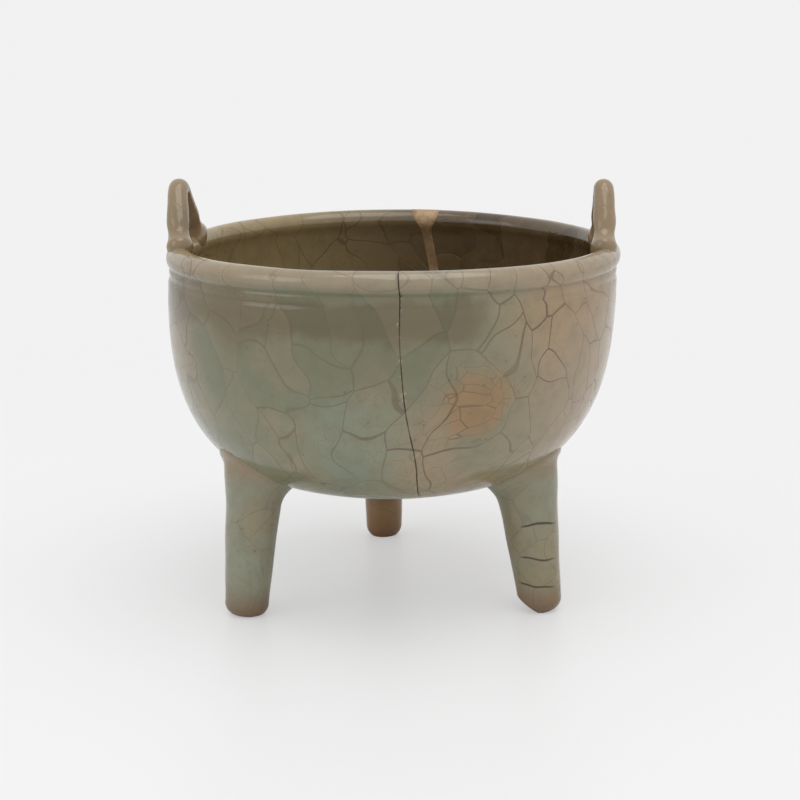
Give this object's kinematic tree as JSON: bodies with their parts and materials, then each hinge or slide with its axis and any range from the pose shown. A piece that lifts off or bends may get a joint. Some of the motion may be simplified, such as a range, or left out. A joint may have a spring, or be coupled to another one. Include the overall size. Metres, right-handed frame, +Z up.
{
  "type": "tripod incense burner",
  "caption": "Crackle-glazed stoneware incense burner: deep round bowl with a rolled lip on tapering legs, with upright loop handles on the lip and a mended break.",
  "frame": {"origin": "on the floor, under the middle of the bowl", "axes": "+Z up, -Y towards the front that the picture shows, +X to the right"},
  "size_m": [0.1254, 0.1254, 0.1178],
  "materials": {
    "bowl_glaze": "gloss",
    "leg_glaze": "gloss",
    "loop_glaze": "gloss",
    "luting_glaze": "gloss",
    "filler": "matte"
  },
  "bodies": {
    "root": {"bowl_left_shard": "bowl_glaze", "bowl_right_shard": "bowl_glaze", "break_filler": "filler", "leg_front_left": "leg_glaze", "leg_front_left_luting": "luting_glaze", "leg_front_right": "leg_glaze", "leg_front_right_luting": "luting_glaze", "leg_back": "leg_glaze", "leg_back_luting": "luting_glaze", "loop_handle_left": "loop_glaze", "loop_handle_left_front_luting": "luting_glaze", "loop_handle_left_back_luting": "luting_glaze", "loop_handle_right": "loop_glaze", "loop_handle_right_front_luting": "luting_glaze", "loop_handle_right_back_luting": "luting_glaze"}
  },
  "joints": []
}
